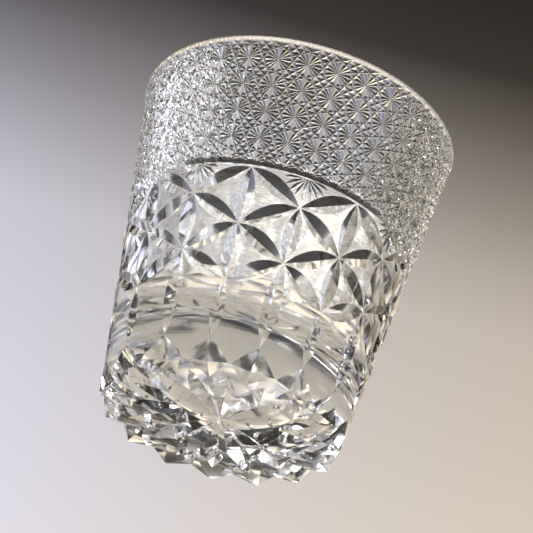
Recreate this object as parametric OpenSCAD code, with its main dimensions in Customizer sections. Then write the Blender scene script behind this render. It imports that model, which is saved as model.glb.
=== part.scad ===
// Whiskey tumbler of hand-cut crystal: one piece of glass, open at the top.
// Millimetres, +Z up, origin at the centre of the base, column 0 of the cutting on -Y.

/* [Glass] */
// Height of the glass
height = 95; // [85:1:120]
// Outer diameter at the rim
rim_d = 86; // [76:1:104]
// Outer diameter at the base
base_d = 65.6; // [54:0.2:80]
// Wall thickness at the rim
rim_wall = 2.6; // [2:0.1:4]
// Wall thickness just above the inner floor
low_wall = 4.8; // [4:0.1:7]
// Thickness of the solid base
floor_t = 18; // [10:0.5:22]
// Radius of the corner between the inner floor and the wall
floor_corner_r = 14; // [4:0.5:16]

/* [Flower band] */
// Number of columns of flowers round the glass
columns = 16; // [12:2:20]
// Height from one flower centre to the next in a column
row_pitch = 16.5; // [13:0.1:20]
// Depth of a flower's petal in the middle
petal_depth = 1.45; // [1.2:0.05:1.9]
// Depth of the short flutes under the flowers
flute_depth = 1.1; // [0.8:0.05:1.4]
// Angle between the two faces of a cut
wheel_angle = 120; // [100:1:130]
// Uncut glass left between the points of two petals
petal_gap = 0.6; // [0.4:0.1:1.5]

/* [Ring and fine band] */
// Height of the ring groove above the topmost flower centres
ring_gap = 1.1; // [0.9:0.1:2]
// Depth of the ring groove
ring_depth = 0.8; // [0.5:0.1:1.2]
// Width of the ring groove's upper face
ring_upper = 1.6; // [1:0.1:2.2]
// Width of the ring groove's lower face
ring_lower = 0.8; // [0.5:0.1:0.9]
// Height from one row of small stars to the next, as many rows as fit below the lip
star_pitch = 7.8; // [5:0.1:8.5]
// Depth of the fine cut along a row of stars
star_depth = 0.5; // [0.3:0.05:0.7]

/* [Heel and underside] */
// Height of the heel notches' tips above the base
heel_h = 6.3; // [5:0.1:8]
// How far a heel notch bites in from the wall at its bottom
heel_bite = 3; // [2:0.1:4]
// Height of a heel notch's bottom above the base
heel_up = 0.9; // [0.6:0.1:1.3]
// How far a notch runs on under the base
heel_run = 6.3; // [3:0.1:8]
// Width of the foot left between two notches
foot_w = 1; // [0.6:0.1:2]
// Radius to the points of the star under the base
base_star_r = 26; // [18:0.5:27]
// Depth of the star under the base at its centre
base_star_depth = 1.8; // [1:0.1:2.5]

/* [Hidden] */
$fn = 96;

rim_r = rim_d / 2;
base_r = base_d / 2;
column_angle = 360 / columns;
taper = atan((rim_r - base_r) / height);      // lean of the outer wall
flank = tan(wheel_angle / 2);                 // half width of a cut for each unit of depth
rows = 3;                                     // flower pitches between the heel and the topmost flowers
row_top = heel_h + rows * row_pitch;          // height of the topmost flower centres
ring_z = row_top + ring_gap;
star_rows = floor((height - rim_wall - star_depth - ring_z) / star_pitch);
inner_top_r = rim_r - rim_wall;
inner_low_r = outer_r(floor_t) - low_wall;
inner_taper = atan((inner_top_r - inner_low_r) / (height - floor_t));
mouth = 6;                                    // how far a cutter opens out of the glass
overrun = 1;                                  // how far a cutter runs on past the end of its cut

// Radius of the uncut outer wall at a height
function outer_r(z) = base_r + (rim_r - base_r) * z / height;

// Distance along the wall from one flower centre to its neighbour in the next column
function diagonal_run(z) = 2 * outer_r(z) * sin(column_angle / 2);

// Half section of the outside: the wall, with the ring groove and the rows of fine cuts
module outer_section() {
    star_z = [for (row = [1 : star_rows]) ring_z + row * star_pitch];
    polygon(concat(
        [[0, 0], [base_r, 0]],
        [[outer_r(ring_z - ring_lower), ring_z - ring_lower],
         [outer_r(ring_z) - ring_depth, ring_z],
         [outer_r(ring_z + ring_upper), ring_z + ring_upper]],
        [for (z = star_z, step = [-1, 0, 1])
            [outer_r(z + step * star_depth) - (step == 0 ? star_depth : 0), z + step * star_depth]],
        [[rim_r, height - rim_wall / 2], [0, height - rim_wall / 2]]));
    // the lip, rounded right over
    translate([rim_r - rim_wall / 2, height - rim_wall / 2]) circle(d = rim_wall);
}

// Half section of the inside: a flat floor, a round corner and a leaning wall
module inner_section() {
    corner_z = floor_t + floor_corner_r;
    corner_x = inner_low_r + floor_corner_r * tan(inner_taper) - floor_corner_r / cos(inner_taper);
    translate([corner_x, corner_z]) circle(r = floor_corner_r);
    polygon([
        [0, floor_t],
        [corner_x, floor_t],
        [corner_x + floor_corner_r * cos(inner_taper), corner_z - floor_corner_r * sin(inner_taper)],
        [inner_top_r, height],
        [inner_top_r, height + mouth],
        [0, height + mouth]]);
}

// A straight V cut, its bottom edge on the Z axis and its mouth towards +X
module v_cut(low, high, slope) {
    translate([0, 0, low]) linear_extrude(high - low)
        polygon([[0, 0], [mouth, mouth * slope], [mouth, -mouth * slope]]);
}

// A petal cut into the wall: pointed at both ends and deepest in the middle.
// lean turns it from upright, and sagitta is what the round wall falls away over its length.
module petal_cut(column, z, length, depth, lean = 0, sagitta = 0) {
    half = length / 2;
    dive = atan((depth - sagitta) / half);
    rotate([0, 0, column * column_angle - 90])
        translate([outer_r(z), 0, z])
            rotate([lean, taper, 0])
                translate([-depth, 0, 0])
                    for (end = [0, 180])
                        rotate([end, 0, 0]) rotate([0, dive, 0]) v_cut(0, half + overrun, flank);
}

// The four petals that slope between one column's flowers and the next column's
module sloping_petals(column) {
    even = column % 2 == 0;
    for (step = [0 : 3]) {
        z = row_top - (step + 0.5) * row_pitch / 2;
        run = diagonal_run(z);
        rise = row_pitch / 2 / cos(taper);
        length = sqrt(run * run + rise * rise);
        sagitta = outer_r(z) * (1 - cos(column_angle / 2)) * run / length;
        down_right = even == (step % 2 == 0);
        petal_cut(column + 0.5, z, length - petal_gap, petal_depth,
            lean = (down_right ? 1 : -1) * atan(run / rise), sagitta = sagitta);
    }
}

// The upright petals of a column, and the flute that runs from the last one down to the heel
module upright_cuts(column) {
    even = column % 2 == 0;
    petals = even ? 2 : 1;
    first = even ? 0 : 0.5;
    for (petal = [0 : petals - 1])
        petal_cut(column, row_top - (first + petal + 0.5) * row_pitch,
            row_pitch / cos(taper) - petal_gap, petal_depth);
    flute_rows = rows - first - petals;
    petal_cut(column, heel_h + flute_rows * row_pitch / 2,
        flute_rows * row_pitch / cos(taper) - petal_gap, even ? flute_depth : petal_depth);
}

// The notch at the foot of a column: one V up the wall and one under the base
module heel_notch(column) {
    knee_r = base_r - heel_bite;
    tip_r = outer_r(heel_h);
    inner_r = knee_r - heel_run;
    half_angle = column_angle / 2;
    foot_x = base_r * cos(half_angle);
    foot_y = base_r * sin(half_angle) - foot_w / 2;
    wall_lean = atan((tip_r - knee_r) / (heel_h - heel_up));
    under_lean = atan(heel_run / heel_up);
    wall_depth = (foot_x - knee_r) * cos(wall_lean) + heel_up * sin(wall_lean);
    under_depth = (foot_x - inner_r) * cos(under_lean);
    rotate([0, 0, column * column_angle - 90]) translate([knee_r, 0, heel_up]) {
        rotate([0, wall_lean, 0]) v_cut(-heel_h, 2 * heel_h, foot_y / wall_depth);
        rotate([0, under_lean, 0]) v_cut(-1.5 * heel_run, heel_run, foot_y / under_depth);
    }
}

// One ray of the star under the base, deepest at the centre
module base_ray(column) {
    reach = sqrt(base_star_r * base_star_r + base_star_depth * base_star_depth);
    rotate([0, 0, (column + 0.5) * column_angle - 90]) translate([0, 0, base_star_depth])
        rotate([0, 90 + atan(base_star_depth / base_star_r), 0])
            v_cut(0, reach + overrun, flank);
}

// The glass before any of it is cut by the wheel
module blank() {
    rotate_extrude() difference() {
        outer_section();
        inner_section();
    }
}

// One kind of cut after another, as a glass cutter works
module tumbler() {
    color([0.86, 0.88, 0.92, 0.45])
    difference() {
        difference() {
            difference() {
                difference() {
                    blank();
                    for (column = [0 : columns - 1]) base_ray(column);
                }
                for (column = [0 : columns - 1]) heel_notch(column);
            }
            for (column = [0 : columns - 1]) upright_cuts(column);
        }
        for (column = [0 : columns - 1]) sloping_petals(column);
    }
}

tumbler();
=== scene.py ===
import math
import bpy
from mathutils import Matrix, Vector


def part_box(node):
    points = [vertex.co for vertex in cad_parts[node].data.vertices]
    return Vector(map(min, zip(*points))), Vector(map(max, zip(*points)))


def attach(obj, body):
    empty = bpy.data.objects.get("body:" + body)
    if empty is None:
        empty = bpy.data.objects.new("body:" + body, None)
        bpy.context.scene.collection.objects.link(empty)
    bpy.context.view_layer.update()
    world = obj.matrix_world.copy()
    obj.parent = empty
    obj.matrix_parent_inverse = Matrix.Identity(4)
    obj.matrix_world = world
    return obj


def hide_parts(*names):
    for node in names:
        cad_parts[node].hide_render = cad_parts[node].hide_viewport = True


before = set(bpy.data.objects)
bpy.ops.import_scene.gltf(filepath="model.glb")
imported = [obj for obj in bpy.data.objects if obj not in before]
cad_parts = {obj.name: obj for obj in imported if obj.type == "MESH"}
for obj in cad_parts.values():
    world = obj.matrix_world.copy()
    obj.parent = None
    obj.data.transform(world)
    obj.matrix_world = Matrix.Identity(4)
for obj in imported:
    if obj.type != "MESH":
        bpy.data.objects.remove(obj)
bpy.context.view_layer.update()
mm = 0.001
low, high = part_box("tumbler")

# the glass before cutting, in mm; height and rim come from the frame
glass = {
    "height": (high[2] - low[2]) / mm,
    "rimRadius": min(high[0] - low[0], high[1] - low[1]) / 2 / mm,
    "baseRadius": 32.8,
    "rimWall": 2.6,
    "lowWall": 4.8,
    "floor": 18.0,
    "floorCorner": 14.0,
    "columns": 16,
    "facets": 192,
    "wallSteps": 7,     # levels of the outer wall below the ring
    "innerSteps": 8,    # levels of the inner wall
    "innerBow": 1.2,    # how much wider than innerLow the inner wall is at the corner's height
    "lipSteps": 14,
    "cornerSteps": 12,
    "smoothAngle": 12,
}
columnAngle = 360 / glass["columns"]
taper = math.degrees(math.atan((glass["rimRadius"] - glass["baseRadius"]) / glass["height"]))
wheelAngle = 120  # between the two faces of a cut
wheelSlope = math.tan(math.radians(wheelAngle / 2))  # half width of a cut for each mm of depth


def wallRadius(z):
    return glass["baseRadius"] + (glass["rimRadius"] - glass["baseRadius"]) * z / glass["height"]


# heights of the cut pattern
cuts = {
    "heel": 6.3,
    "rows": 3,
    "rowPitch": 16.5,
    "ringGap": 1.1,
    "ringDepth": 0.8,
    "ringUpper": 1.6,
    "ringLower": 0.8,
}
rowTop = cuts["heel"] + cuts["rows"] * cuts["rowPitch"]
ringZ = rowTop + cuts["ringGap"]


def clearSelection():
    bpy.ops.object.select_all(action="DESELECT")


def only(piece):
    clearSelection()
    bpy.context.view_layer.objects.active = piece
    piece.select_set(True)


def joined(pieces, name):
    clearSelection()
    for piece in pieces:
        piece.select_set(True)
    bpy.context.view_layer.objects.active = pieces[0]
    if len(pieces) > 1:
        bpy.ops.object.join()
    result = bpy.context.object
    result.name = name
    return result


def copyOf(piece, matrix):
    twin = piece.copy()
    twin.data = piece.data.copy()
    twin.data.transform(matrix)
    bpy.context.collection.objects.link(twin)
    return twin


def removePiece(piece):
    data = piece.data
    bpy.data.objects.remove(piece)
    bpy.data.meshes.remove(data)


# one boolean with a cutter made of parts that don't touch each other
def combine(body, tool, operation="DIFFERENCE"):
    only(body)
    step = body.modifiers.new("cut", "BOOLEAN")
    step.operation = operation
    step.solver = "MANIFOLD"
    step.object = tool
    bpy.ops.object.modifier_apply(modifier="cut")
    removePiece(tool)


def turnZ(degrees):
    return Matrix.Rotation(math.radians(degrees), 4, "Z")


# a frame on the wall: X out of the glass, Z along the cut, turned by lean from upright
def onWall(azimuth, z, lean=0.0):
    return (turnZ(azimuth - 90)
            @ Matrix.Translation((wallRadius(z) * mm, 0, z * mm))
            @ Matrix.Rotation(math.radians(taper), 4, "Y")
            @ Matrix.Rotation(math.radians(lean), 4, "X"))


# the uncut blank is extruded up, over the lip and down inside
def arcPoints(centre, radius, start, end, steps):
    points = []
    for i in range(steps + 1):
        a = math.radians(start + (end - start) * i / steps)
        points.append((centre[0] + radius * math.cos(a), centre[1] + radius * math.sin(a)))
    return points


def blankProfile():
    g = glass
    lip = g["rimWall"] / 2
    innerTop = g["rimRadius"] - g["rimWall"]
    innerLow = wallRadius(g["floor"]) - g["lowWall"]
    lean = math.atan((innerTop - innerLow) / (g["height"] - g["floor"]))
    cornerZ = g["floor"] + g["floorCorner"]
    cornerX = innerLow + g["floorCorner"] * math.tan(lean) - g["floorCorner"] / math.cos(lean)
    profile = [(g["baseRadius"], 0)]
    for i in range(1, g["wallSteps"]):
        z = (ringZ - cuts["ringLower"]) * i / g["wallSteps"]
        profile.append((wallRadius(z), z))
    profile += [
        (wallRadius(ringZ - cuts["ringLower"]), ringZ - cuts["ringLower"]),
        (wallRadius(ringZ) - cuts["ringDepth"], ringZ),
        (wallRadius(ringZ + cuts["ringUpper"]), ringZ + cuts["ringUpper"]),
    ]
    for row in range(1, fine["rows"] + 1):
        z = ringZ + row * fine["pitch"]
        profile += [
            (wallRadius(z - fine["halfWidth"]), z - fine["halfWidth"]),
            (wallRadius(z) - fine["depth"], z),
            (wallRadius(z + fine["halfWidth"]), z + fine["halfWidth"]),
        ]
    leanDegrees = math.degrees(lean)
    profile += arcPoints((g["rimRadius"] - lip, g["height"] - lip), lip,
                         -leanDegrees, 180 - leanDegrees, g["lipSteps"])
    for i in range(1, g["innerSteps"]):
        share = i / g["innerSteps"]
        profile.append((innerTop + (innerLow + g["innerBow"] - innerTop) * share,
                        g["height"] - lip + (cornerZ - g["height"] + lip) * share))
    profile += arcPoints((cornerX, cornerZ), g["floorCorner"], -leanDegrees, -90, g["cornerSteps"])
    profile.append((cornerX / 2, g["floor"]))
    return profile


def makeBlank():
    profile = blankProfile()
    bpy.ops.mesh.primitive_circle_add(vertices=glass["facets"], radius=profile[0][0] * mm,
                                      fill_type="NGON", location=(0, 0, 0))
    blank = bpy.context.object
    blank.name = "tumblerCrystal"
    bpy.ops.object.mode_set(mode="EDIT")
    bpy.ops.mesh.select_mode(type="FACE")
    bpy.ops.mesh.select_all(action="SELECT")
    radius, z = profile[0]
    for nextRadius, nextZ in profile[1:]:
        bpy.ops.mesh.extrude_region_move(
            TRANSFORM_OT_translate={"value": (0, 0, (nextZ - z) * mm)})
        share = nextRadius / radius
        bpy.ops.transform.resize(value=(share, share, 1))
        radius, z = nextRadius, nextZ
    bpy.ops.mesh.select_all(action="SELECT")
    bpy.ops.mesh.normals_make_consistent(inside=False)
    bpy.ops.object.mode_set(mode="OBJECT")
    return blank


# fine star band: straight V cuts in eight directions through a net of star centres
fine = {
    "rows": 4,
    "pitch": 7.8,
    "starColumns": 32,
    "depth": 0.42,
    "halfWidth": 0.55,
    "mouth": 0.25,
    "step": 2.7,        # about the length of one straight piece of a bar
    "runOut": 1.3,      # from the top of the glass down to where the bars end
    "lastLift": 0.05,   # how far a bar's end stands clear of the wall
}
fineRadius = wallRadius(ringZ + fine["pitch"] * 2)  # where the net of stars is true to size


# a three-sided bar in a flat strip, then laid round the wall; run and rise are in mm
def fineBar(run, rise, bottomZ):
    slope = fine["halfWidth"] / fine["depth"]
    length = math.hypot(run, rise)
    steps = max(2, round(length / fine["step"]))
    along = Vector((run, rise)) / length
    across = Vector((rise, -run)) / length
    reach = (fine["depth"] + fine["mouth"]) * slope
    bpy.ops.mesh.primitive_circle_add(vertices=3, radius=mm, fill_type="NGON", location=(0, 0, 0))
    bar = bpy.context.object
    bpy.ops.object.mode_set(mode="EDIT")
    bpy.ops.mesh.select_all(action="SELECT")
    for i in range(steps):
        bpy.ops.mesh.extrude_region_move(TRANSFORM_OT_translate={"value": (0, 0, mm)})
    bpy.ops.object.mode_set(mode="OBJECT")
    corners = [(0.0, -fine["depth"]), (reach, fine["mouth"]), (-reach, fine["mouth"])]
    for i, vertex in enumerate(bar.data.vertices):
        level = round(vertex.co.z / mm)
        side, lift = corners[i % 3]
        if level == steps:
            lift += fine["depth"] + fine["lastLift"]
        x = along.x * length * level / steps + across.x * side
        z = bottomZ + along.y * length * level / steps + across.y * side
        turn = math.radians(-90) + x / fineRadius
        r = wallRadius(z) + lift
        vertex.co = Vector((r * math.cos(turn), r * math.sin(turn), z)) * mm
    bpy.ops.object.mode_set(mode="EDIT")
    bpy.ops.mesh.select_all(action="SELECT")
    bpy.ops.mesh.quads_convert_to_tris()
    bpy.ops.mesh.normals_make_consistent(inside=False)
    bpy.ops.object.mode_set(mode="OBJECT")
    return bar


def ringOf(piece, count, name):
    copies = [copyOf(piece, turnZ(360 * i / count)) for i in range(count)]
    removePiece(piece)
    return joined(copies, name)


wheelOverrun = 1.04  # how much further a wheel's arc turns than the cut it leaves


# a cutting wheel's path: a V spun through an arc, deepest in the middle
def wheelCutter(length, depth, sagitta=0.0, steps=10, mouth=0.35):
    bite = depth - sagitta
    radius = (length * length / 4 + bite * bite) / (2 * bite)
    half = math.asin(min(1.0, length / 2 / radius)) * wheelOverrun
    reach = (depth + mouth) * wheelSlope
    bpy.ops.mesh.primitive_circle_add(vertices=3, radius=mm, fill_type="NGON", location=(0, 0, 0))
    tool = bpy.context.object
    corners = [(-depth, 0.0), (mouth, reach), (mouth, -reach)]
    hub = Vector(((radius - depth) * mm, 0, 0))
    back = Matrix.Translation(hub) @ Matrix.Rotation(-half, 4, "Y") @ Matrix.Translation(-hub)
    for vertex, (x, y) in zip(tool.data.vertices, corners):
        vertex.co = back @ Vector((x * mm, y * mm, 0))
    bpy.ops.object.mode_set(mode="EDIT")
    bpy.ops.mesh.select_all(action="SELECT")
    bpy.ops.mesh.spin(steps=steps, angle=-2 * half, center=hub, axis=(0, 1, 0), dupli=False)
    bpy.ops.mesh.select_all(action="SELECT")
    bpy.ops.mesh.remove_doubles(threshold=1e-7)
    bpy.ops.mesh.normals_make_consistent(inside=False)
    bpy.ops.object.mode_set(mode="OBJECT")
    return tool


# a straight V bar with its bottom edge on the Z axis and its mouth towards +X
def straightCutter(start, end, mouth, slope):
    bpy.ops.mesh.primitive_circle_add(vertices=3, radius=mm, fill_type="NGON", location=(0, 0, 0))
    tool = bpy.context.object
    corners = [(0.0, 0.0), (mouth, mouth * slope), (mouth, -mouth * slope)]
    for vertex, (x, y) in zip(tool.data.vertices, corners):
        vertex.co = Vector((x, y, start)) * mm
    bpy.ops.object.mode_set(mode="EDIT")
    bpy.ops.mesh.select_all(action="SELECT")
    bpy.ops.mesh.extrude_region_move(TRANSFORM_OT_translate={"value": (0, 0, (end - start) * mm)})
    bpy.ops.mesh.select_all(action="SELECT")
    bpy.ops.mesh.normals_make_consistent(inside=False)
    bpy.ops.object.mode_set(mode="OBJECT")
    return tool


# petals, flutes and sprays of the flower band
flower = {
    "petalDepth": 1.45,
    "fluteDepth": 1.1,
    "tipGap": 0.1,
    "sprayLength": 6.8,
    "sprayDepth": 0.4,
    "sprayMouth": 0.2,
    "spraySteps": 6,
    "sprayRays": 9,
    "sprayFan": 78,     # degrees from upright to the outermost ray
}


# each family of bars leans by so many star columns a row; the half steps need twice as many bars
def cutFineBand(body):
    band = glass["height"] - fine["runOut"] - ringZ
    halfStar = fineRadius * math.radians(360 / fine["starColumns"]) / 2
    for run in (0, 1, -1, 2, -2, 0.5, -0.5):
        width = run * 2 * halfStar * band / fine["pitch"]
        count = fine["starColumns"] * (2 if abs(run) == 0.5 else 1)
        combine(body, ringOf(fineBar(width, band, ringZ), count, "fineBars"))
    print("fine band cut")


def cutFlowers(body):
    pitch = cuts["rowPitch"] / math.cos(math.radians(taper))
    upright = wheelCutter(pitch - flower["tipGap"], flower["petalDepth"])
    shortFlute = wheelCutter(pitch - flower["tipGap"], flower["fluteDepth"])
    longFlute = wheelCutter(1.5 * pitch - flower["tipGap"], flower["petalDepth"])
    batches = [[], [], []]
    for column in range(glass["columns"]):
        azimuth = column * columnAngle
        if column % 2 == 0:
            batches[0].append(copyOf(upright, onWall(azimuth, rowTop - cuts["rowPitch"] * 0.5)))
            batches[1].append(copyOf(upright, onWall(azimuth, rowTop - cuts["rowPitch"] * 1.5)))
            batches[2].append(copyOf(shortFlute, onWall(azimuth, rowTop - cuts["rowPitch"] * 2.5)))
        else:
            batches[0].append(copyOf(upright, onWall(azimuth, rowTop - cuts["rowPitch"])))
            batches[2].append(copyOf(longFlute, onWall(azimuth, rowTop - cuts["rowPitch"] * 2.25)))
    for tool in (upright, shortFlute, longFlute):
        removePiece(tool)
    for step in range(4):
        z = rowTop - (step + 0.5) * cuts["rowPitch"] / 2
        run = 2 * wallRadius(z) * math.sin(math.radians(columnAngle / 2))
        rise = pitch / 2
        length = math.hypot(run, rise)
        sagitta = wallRadius(z) * (1 - math.cos(math.radians(columnAngle / 2))) * run / length
        sloping = wheelCutter(length - flower["tipGap"], flower["petalDepth"], sagitta)
        lean = math.degrees(math.atan2(run, rise))
        pair = ([], [])
        for column in range(glass["columns"]):
            sign = 1 if (column % 2 == 0) == (step % 2 == 0) else -1
            place = onWall((column + 0.5) * columnAngle, z, sign * lean)
            pair[column % 2].append(copyOf(sloping, place))
        batches += pair
        removePiece(sloping)
    for batch in batches:
        combine(body, joined(batch, "petals"))
    print("flowers cut")


def cutSprays(body):
    length = flower["sprayLength"]
    tool = wheelCutter(length, flower["sprayDepth"], steps=flower["spraySteps"], mouth=flower["sprayMouth"])
    centreZ = ringZ - cuts["ringLower"] / 2
    batches = [[], [], []]
    for ray in range(flower["sprayRays"]):
        fan = math.radians(-flower["sprayFan"] + 2 * flower["sprayFan"] * ray / (flower["sprayRays"] - 1))
        z = centreZ - length / 2 * math.cos(fan)
        aside = math.degrees(length / 2 * math.sin(fan) / wallRadius(z))
        for column in range(1, glass["columns"], 2):
            place = onWall(column * columnAngle + aside, z, math.degrees(fan))
            batches[ray % 3].append(copyOf(tool, place))
    removePiece(tool)
    for batch in batches:
        combine(body, joined(batch, "sprays"))
    print("sprays cut")


# notches round the heel and the star under the base
foot = {
    "bite": 3.0,
    "up": 0.9,
    "run": 6.3,
    "width": 1.0,
    "mouth": 4.5,
    "underMouth": 3.15,
    "starRadius": 26.5,
    "starPast": 2.0,
    "starDepth": 1.95,
    "starMouth": 0.3,
    "starSteps": 14,
}


def cutHeel(body):
    kneeRadius = glass["baseRadius"] - foot["bite"]
    tipRadius = wallRadius(cuts["heel"])
    half = math.radians(columnAngle / 2)
    footX = glass["baseRadius"] * math.cos(half)
    footY = glass["baseRadius"] * math.sin(half) - foot["width"] / 2
    wallLean = math.atan((tipRadius - kneeRadius) / (cuts["heel"] - foot["up"]))
    underLean = math.atan(foot["run"] / foot["up"])
    wallDepth = (footX - kneeRadius) * math.cos(wallLean) + foot["up"] * math.sin(wallLean)
    underDepth = (footX - kneeRadius + foot["run"]) * math.cos(underLean)
    wallBar = straightCutter(-cuts["heel"], 2 * cuts["heel"], foot["mouth"], footY / wallDepth)
    underBar = straightCutter(-1.5 * foot["run"], foot["run"], foot["underMouth"], footY / underDepth)
    for bar, lean in ((wallBar, wallLean), (underBar, underLean)):
        for parity in (0, 1):
            batch = []
            for column in range(parity, glass["columns"], 2):
                place = (turnZ(column * columnAngle - 90)
                         @ Matrix.Translation((kneeRadius * mm, 0, foot["up"] * mm))
                         @ Matrix.Rotation(lean, 4, "Y"))
                batch.append(copyOf(bar, place))
            combine(body, joined(batch, "heel"))
        removePiece(bar)
    print("heel cut")


def cutBaseStar(body):
    length = foot["starRadius"] + foot["starPast"]
    ray = wheelCutter(length, foot["starDepth"], steps=foot["starSteps"], mouth=foot["starMouth"])
    middle = foot["starRadius"] - length / 2
    plug = None
    for column in range(glass["columns"]):
        place = (turnZ((column + 0.5) * columnAngle - 90)
                 @ Matrix.Translation((middle * mm, 0, 0))
                 @ Matrix.Rotation(math.radians(90), 4, "Y"))
        nextRay = copyOf(ray, place)
        if plug is None:
            plug = nextRay
        else:
            combine(plug, nextRay, "UNION")
    removePiece(ray)
    combine(body, plug)
    print("base star cut")


# crumbs of glass that the crossing cuts set free are dropped, and the one big piece is kept
def dropCrumbs(body):
    only(body)
    name = body.name
    bpy.ops.object.mode_set(mode="EDIT")
    bpy.ops.mesh.select_all(action="SELECT")
    bpy.ops.mesh.separate(type="LOOSE")
    bpy.ops.object.mode_set(mode="OBJECT")
    pieces = sorted(bpy.context.selected_objects, key=lambda piece: len(piece.data.vertices))
    whole = pieces.pop()
    print("crumbs dropped", len(pieces), "largest", max((len(p.data.vertices) for p in pieces), default=0))
    for crumb in pieces:
        removePiece(crumb)
    whole.name = name
    only(whole)
    bpy.ops.object.shade_smooth_by_angle(angle=math.radians(glass["smoothAngle"]))
    return whole


# roughness of the crystal: bright on the cuts, softer inside and on the lip; heights and depths in mm
polish = {
    "colour": (0.985, 0.99, 1.0, 1),
    "ior": 1.545,
    "outside": 0.02,
    "inside": 0.10,
    "floor": 0.08,
    "lip": 0.32,
    "insideDepth": 2.1,   # deeper than the cuts in the wall, and still in the glass
    "floorMargin": 0.5,   # counts as the inside from this far below the inner floor
    "floorEdge": 9.0,     # the floor's polish reaches this far up the corner
    "lipHeight": 1.6,
    "hazeScale": 55,
    "hazeDetail": 4,
    "haze": 0.035,
    "waveScale": 240,
    "waveDetail": 2,
    "waveHeight": 0.012,
    "lineScale": 900,     # turning lines per metre
    "lineHeight": 0.0015,
}


def mathNode(nodes, links, operation, first, second):
    node = nodes.new("ShaderNodeMath")
    node.operation = operation
    for socket, value in zip(node.inputs, (first, second)):
        if isinstance(value, (int, float)):
            socket.default_value = value
        else:
            links.new(value, socket)
    return node.outputs["Value"]


# the second value where the mask is 1, the first where it is 0
def chosen(nodes, links, mask, first, second):
    pick = nodes.new("ShaderNodeMapRange")
    for socket, value in (("Value", mask), ("To Min", first), ("To Max", second)):
        if isinstance(value, (int, float)):
            pick.inputs[socket].default_value = value
        else:
            links.new(value, pick.inputs[socket])
    return pick.outputs["Result"]


# cloudy variation from 0 to Strength, shared by the crystal and the floor
def makeMottleGroup():
    group = bpy.data.node_groups.new("softMottle", "ShaderNodeTree")
    for name, kind in (("Place", "NodeSocketVector"), ("Scale", "NodeSocketFloat"),
                       ("Detail", "NodeSocketFloat"), ("Strength", "NodeSocketFloat")):
        group.interface.new_socket(name=name, in_out="INPUT", socket_type=kind)
    group.interface.new_socket(name="Mottle", in_out="OUTPUT", socket_type="NodeSocketFloat")
    nodes, links = group.nodes, group.links
    given = nodes.new("NodeGroupInput")
    result = nodes.new("NodeGroupOutput")
    noise = nodes.new("ShaderNodeTexNoise")
    links.new(given.outputs["Place"], noise.inputs["Vector"])
    links.new(given.outputs["Scale"], noise.inputs["Scale"])
    links.new(given.outputs["Detail"], noise.inputs["Detail"])
    amount = mathNode(nodes, links, "MULTIPLY", noise.outputs["Fac"], given.outputs["Strength"])
    links.new(amount, result.inputs["Mottle"])
    return group


softMottle = makeMottleGroup()


def mottleOf(nodes, links, place, scale, detail, strength=1.0):
    mottle = nodes.new("ShaderNodeGroup")
    mottle.node_tree = softMottle
    mottle.inputs["Scale"].default_value = scale
    mottle.inputs["Detail"].default_value = detail
    mottle.inputs["Strength"].default_value = strength
    links.new(place, mottle.inputs["Place"])
    return mottle.outputs["Mottle"]


def makeCrystal():
    material = bpy.data.materials.new("cutCrystal")
    material.use_nodes = True
    nodes, links = material.node_tree.nodes, material.node_tree.links
    shader = nodes["Principled BSDF"]
    shader.inputs["Base Color"].default_value = polish["colour"]
    shader.inputs["Metallic"].default_value = 0
    shader.inputs["IOR"].default_value = polish["ior"]
    shader.inputs["Transmission Weight"].default_value = 1
    place = nodes.new("ShaderNodeTexCoord")
    split = nodes.new("ShaderNodeSeparateXYZ")
    links.new(place.outputs["Object"], split.inputs["Vector"])
    flat = nodes.new("ShaderNodeVectorMath")
    flat.operation = "MULTIPLY"
    flat.inputs[1].default_value = (1, 1, 0)
    links.new(place.outputs["Object"], flat.inputs[0])
    reach = nodes.new("ShaderNodeVectorMath")
    reach.operation = "LENGTH"
    links.new(flat.outputs["Vector"], reach.inputs[0])
    lean = (glass["rimRadius"] - glass["baseRadius"]) / glass["height"]
    limit = mathNode(nodes, links, "MULTIPLY", split.outputs["Z"], lean)
    limit = mathNode(nodes, links, "ADD", limit, (glass["baseRadius"] - polish["insideDepth"]) * mm)
    within = mathNode(nodes, links, "LESS_THAN", reach.outputs["Value"], limit)
    above = mathNode(nodes, links, "GREATER_THAN", split.outputs["Z"],
                     (glass["floor"] - polish["floorMargin"]) * mm)
    inside = mathNode(nodes, links, "MULTIPLY", within, above)
    onWallInside = mathNode(nodes, links, "GREATER_THAN", split.outputs["Z"],
                            (glass["floor"] + polish["floorEdge"]) * mm)
    onLip = mathNode(nodes, links, "GREATER_THAN", split.outputs["Z"],
                     (glass["height"] - polish["lipHeight"]) * mm)
    # roughness: outside, inner wall, inner floor and lip, with a faint haze over all of it
    rough = chosen(nodes, links, onWallInside, polish["floor"], polish["inside"])
    rough = chosen(nodes, links, inside, polish["outside"], rough)
    rough = chosen(nodes, links, onLip, rough, polish["lip"])
    haze = mottleOf(nodes, links, place.outputs["Object"],
                    polish["hazeScale"], polish["hazeDetail"], polish["haze"])
    links.new(mathNode(nodes, links, "ADD", rough, haze), shader.inputs["Roughness"])
    # relief: the slow waviness of hand polishing and fine turning lines round the glass
    wave = mottleOf(nodes, links, place.outputs["Object"],
                    polish["waveScale"], polish["waveDetail"], polish["waveHeight"])
    lineAt = mathNode(nodes, links, "MULTIPLY", split.outputs["Z"], polish["lineScale"] * 2 * math.pi)
    line = mathNode(nodes, links, "SINE", lineAt, 0.0)
    line = mathNode(nodes, links, "MULTIPLY", line, polish["lineHeight"])
    bump = nodes.new("ShaderNodeBump")
    bump.inputs["Distance"].default_value = mm
    links.new(mathNode(nodes, links, "ADD", wave, line), bump.inputs["Height"])
    links.new(bump.outputs["Normal"], shader.inputs["Normal"])
    return material


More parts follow.
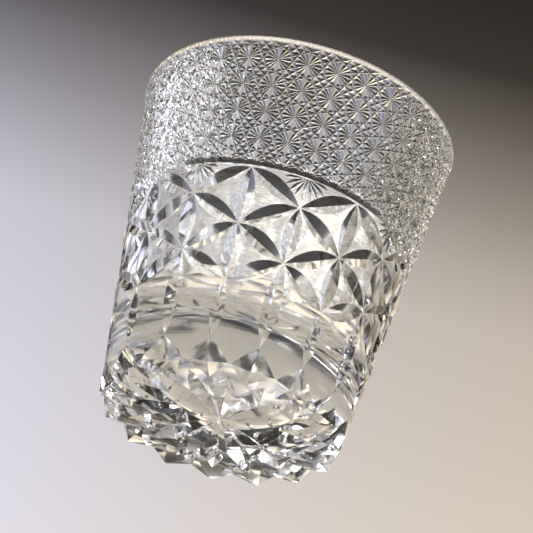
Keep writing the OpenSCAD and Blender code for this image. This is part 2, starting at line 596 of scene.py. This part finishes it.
def makeTumbler():
    body = makeBlank()
    print("blank made", len(body.data.polygons))
    cutFlowers(body)
    cutSprays(body)
    cutHeel(body)
    cutBaseStar(body)
    cutFineBand(body)
    body = dropCrumbs(body)
    body.data.materials.clear()
    body.data.materials.append(makeCrystal())
    triangles = sum(len(face.vertices) - 2 for face in body.data.polygons)
    print("tumbler faces", len(body.data.polygons), "triangles", triangles)
    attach(body, "root")
    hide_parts("tumbler")
    return body


# a matt pale floor, seen only from above
ground = {
    "radius": 1.6,
    "sides": 96,
    "gap": 0.02,    # mm below the glass
    "light": (0.76, 0.70, 0.59, 1),
    "dark": (0.71, 0.65, 0.54, 1),
    "mottleScale": 28,
    "mottleDetail": 5,
    "grainScale": 900,
    "grainDetail": 2,
    "grain": 0.1,
    "roughness": 0.55,
}


def makeFloor():
    clearSelection()
    bpy.ops.mesh.primitive_circle_add(vertices=ground["sides"], radius=ground["radius"],
                                      fill_type="NGON", location=(0, 0, 0))
    floor = bpy.context.object
    floor.name = "floor"
    floor.data.transform(Matrix.Translation((0, 0, low[2] - ground["gap"] * mm)))
    material = bpy.data.materials.new("paleFloor")
    material.use_nodes = True
    nodes, links = material.node_tree.nodes, material.node_tree.links
    shader = nodes["Principled BSDF"]
    place = nodes.new("ShaderNodeTexCoord").outputs["Object"]
    tone = nodes.new("ShaderNodeMixRGB")
    tone.inputs["Color1"].default_value = ground["dark"]
    tone.inputs["Color2"].default_value = ground["light"]
    mottle = mottleOf(nodes, links, place, ground["mottleScale"], ground["mottleDetail"])
    links.new(mottle, tone.inputs["Fac"])
    links.new(tone.outputs["Color"], shader.inputs["Base Color"])
    grain = mottleOf(nodes, links, place, ground["grainScale"], ground["grainDetail"], ground["grain"])
    links.new(mathNode(nodes, links, "ADD", grain, ground["roughness"]), shader.inputs["Roughness"])
    clear = nodes.new("ShaderNodeBsdfTransparent")
    mix = nodes.new("ShaderNodeMixShader")
    side = nodes.new("ShaderNodeNewGeometry")
    links.new(side.outputs["Backfacing"], mix.inputs["Fac"])
    links.new(shader.outputs["BSDF"], mix.inputs[1])
    links.new(clear.outputs["BSDF"], mix.inputs[2])
    links.new(mix.outputs["Shader"], nodes["Material Output"].inputs["Surface"])
    floor.data.materials.append(material)


# the camera looks up at the glass from below, held at a tilt; angles in degrees, lengths in mm
view = {
    "azimuth": 13.94,
    "elevation": -29.52,
    "distance": 1472.3,
    "aim": (1.2, 0.3, 49.2),
    "roll": 15.14,
    "lens": 370.4,
    "sensor": 36,
    "clip": (0.05, 20),   # metres
}


def makeCamera():
    azimuth, elevation = math.radians(view["azimuth"]), math.radians(view["elevation"])
    outward = Vector((math.sin(azimuth) * math.cos(elevation),
                      -math.cos(azimuth) * math.cos(elevation), math.sin(elevation)))
    camera = bpy.data.objects.new("camera", bpy.data.cameras.new("camera"))
    bpy.context.collection.objects.link(camera)
    roll = Matrix.Rotation(math.radians(view["roll"]), 4, "Z").to_quaternion()
    turn = (-outward).to_track_quat("-Z", "Y") @ roll
    camera.location = (Vector(view["aim"]) + outward * view["distance"]) * mm
    camera.rotation_euler = turn.to_euler()
    camera.data.lens = view["lens"]
    camera.data.sensor_width = view["sensor"]
    camera.data.clip_start, camera.data.clip_end = view["clip"]
    bpy.context.scene.camera = camera


def areaLight(name, place, size, power, colour, shadow):
    data = bpy.data.lights.new(name, "AREA")
    data.size = size
    data.energy = power
    data.color = colour
    data.use_shadow = shadow
    lamp = bpy.data.objects.new(name, data)
    bpy.context.collection.objects.link(lamp)
    lamp.location = place
    lamp.rotation_euler = (-Vector(place)).to_track_quat("-Z", "Y").to_euler()


# the room: tones by height (the sine of the elevation) behind the glass and in front of it, and soft
# windows behind it, each with its azimuth, elevation, sharpness and colour; a dark lid is over the
# windows and not over the skylights, and "frontal" is where the back of the room blends into the front
room = {
    "behind": [(-1.0, (0.40, 0.36, 0.29)), (-0.30, (0.52, 0.47, 0.38)), (0.10, (0.46, 0.41, 0.33)),
               (0.35, (0.18, 0.145, 0.10)), (1.0, (0.08, 0.07, 0.07))],
    "lid": [(-1.0, (1, 1, 1)), (0.495, (1, 1, 1)), (0.53, (0.12, 0.11, 0.11)), (0.56, (0.02, 0.02, 0.02)),
            (0.85, (0.02, 0.02, 0.02)), (1.0, (0.5, 0.5, 0.5))],
    "front": [(-1.0, (0.30, 0.28, 0.25)), (-0.25, (0.50, 0.48, 0.44)), (0.10, (0.60, 0.61, 0.66)),
              (0.35, (0.85, 0.88, 0.98)), (0.80, (0.80, 0.76, 0.68)), (1.0, (0.30, 0.28, 0.26))],
    "frontal": (-0.1, 0.45),
    "windows": [(-110, 12, 13, (1.30, 1.40, 1.75)), (-158, 25, 120, (0.44, 0.52, 0.84)),
                (-178, 13, 28, (1.45, 1.24, 0.90)), (140, -15, 12, (0.62, 0.53, 0.40))],
    "skylights": [(162, 37, 90, (0.28, 0.29, 0.38))],
}


def heightRamp(nodes, stops):
    ramp = nodes.new("ShaderNodeValToRGB")
    points = ramp.color_ramp.elements
    for i, (z, colour) in enumerate(stops):
        point = points[i] if i < 2 else points.new(0.999)
        point.position = (z + 1) / 2
        point.color = (*colour, 1)
    return ramp


def towards(azimuth, elevation):
    flat = math.cos(math.radians(elevation))
    return (math.sin(math.radians(azimuth)) * flat, -math.cos(math.radians(azimuth)) * flat,
            math.sin(math.radians(elevation)))


def dotWith(nodes, links, direction, axis):
    along = nodes.new("ShaderNodeVectorMath")
    along.operation = "DOT_PRODUCT"
    along.inputs[1].default_value = axis
    links.new(direction, along.inputs[0])
    return along.outputs["Value"]


# two colours blended: a plain value is set and an output is linked
def blended(nodes, links, kind, factor, first, second):
    mix = nodes.new("ShaderNodeMixRGB")
    mix.blend_type = kind
    for socket, value in zip(mix.inputs, (factor, first, second)):
        if isinstance(value, (float, tuple)):
            socket.default_value = value
        else:
            links.new(value, socket)
    return mix.outputs["Color"]


# adds each window's glow, which falls off all round its direction
def addWindows(nodes, links, direction, light, windows):
    for azimuth, elevation, sharpness, colour in windows:
        nearness = dotWith(nodes, links, direction, towards(azimuth, elevation))
        fall = mathNode(nodes, links, "SUBTRACT", nearness, 1.0)
        fall = mathNode(nodes, links, "MULTIPLY", fall, sharpness)
        glow = mathNode(nodes, links, "EXPONENT", fall, 0.0)
        light = blended(nodes, links, "ADD", glow, light, (*colour, 1))
    return light


def makeRoom():
    world = bpy.data.worlds.new("room")
    bpy.context.scene.world = world
    world.use_nodes = True
    nodes, links = world.node_tree.nodes, world.node_tree.links
    direction = nodes.new("ShaderNodeTexCoord").outputs["Generated"]
    lift = nodes.new("ShaderNodeMapRange")
    lift.inputs["From Min"].default_value = -1
    links.new(dotWith(nodes, links, direction, (0, 0, 1)), lift.inputs["Value"])
    tones = {}
    for part in ("behind", "lid", "front"):
        ramp = heightRamp(nodes, room[part])
        links.new(lift.outputs["Result"], ramp.inputs["Fac"])
        tones[part] = ramp.outputs["Color"]
    light = addWindows(nodes, links, direction, tones["behind"], room["windows"])
    light = blended(nodes, links, "MULTIPLY", 1.0, light, tones["lid"])
    light = addWindows(nodes, links, direction, light, room["skylights"])
    frontal = nodes.new("ShaderNodeMapRange")
    frontal.interpolation_type = "SMOOTHSTEP"
    frontal.inputs["From Min"].default_value, frontal.inputs["From Max"].default_value = room["frontal"]
    links.new(dotWith(nodes, links, direction, (0, -1, 0)), frontal.inputs["Value"])
    light = blended(nodes, links, "MIX", frontal.outputs["Result"], light, tones["front"])
    links.new(light, nodes["Background"].inputs["Color"])


# two soft lamps that face the foot of the glass; the fill stands for the light that the glass lets through
lamps = {
    "softFront": {"place": (-0.4, -0.9, 1.3), "size": 1.1, "power": 12,
                  "colour": (1.0, 0.98, 0.95), "shadow": True},
    "softFill": {"place": (-0.5, -0.8, 1.4), "size": 1.1, "power": 8,
                 "colour": (1.0, 0.97, 0.92), "shadow": False},
}


def makeLights():
    for name, lamp in lamps.items():
        areaLight(name, lamp["place"], lamp["size"], lamp["power"], lamp["colour"], lamp["shadow"])
    bpy.context.scene.view_settings.view_transform = "Standard"


clearSelection()
makeCamera()
makeTumbler()
makeFloor()
makeRoom()
makeLights()
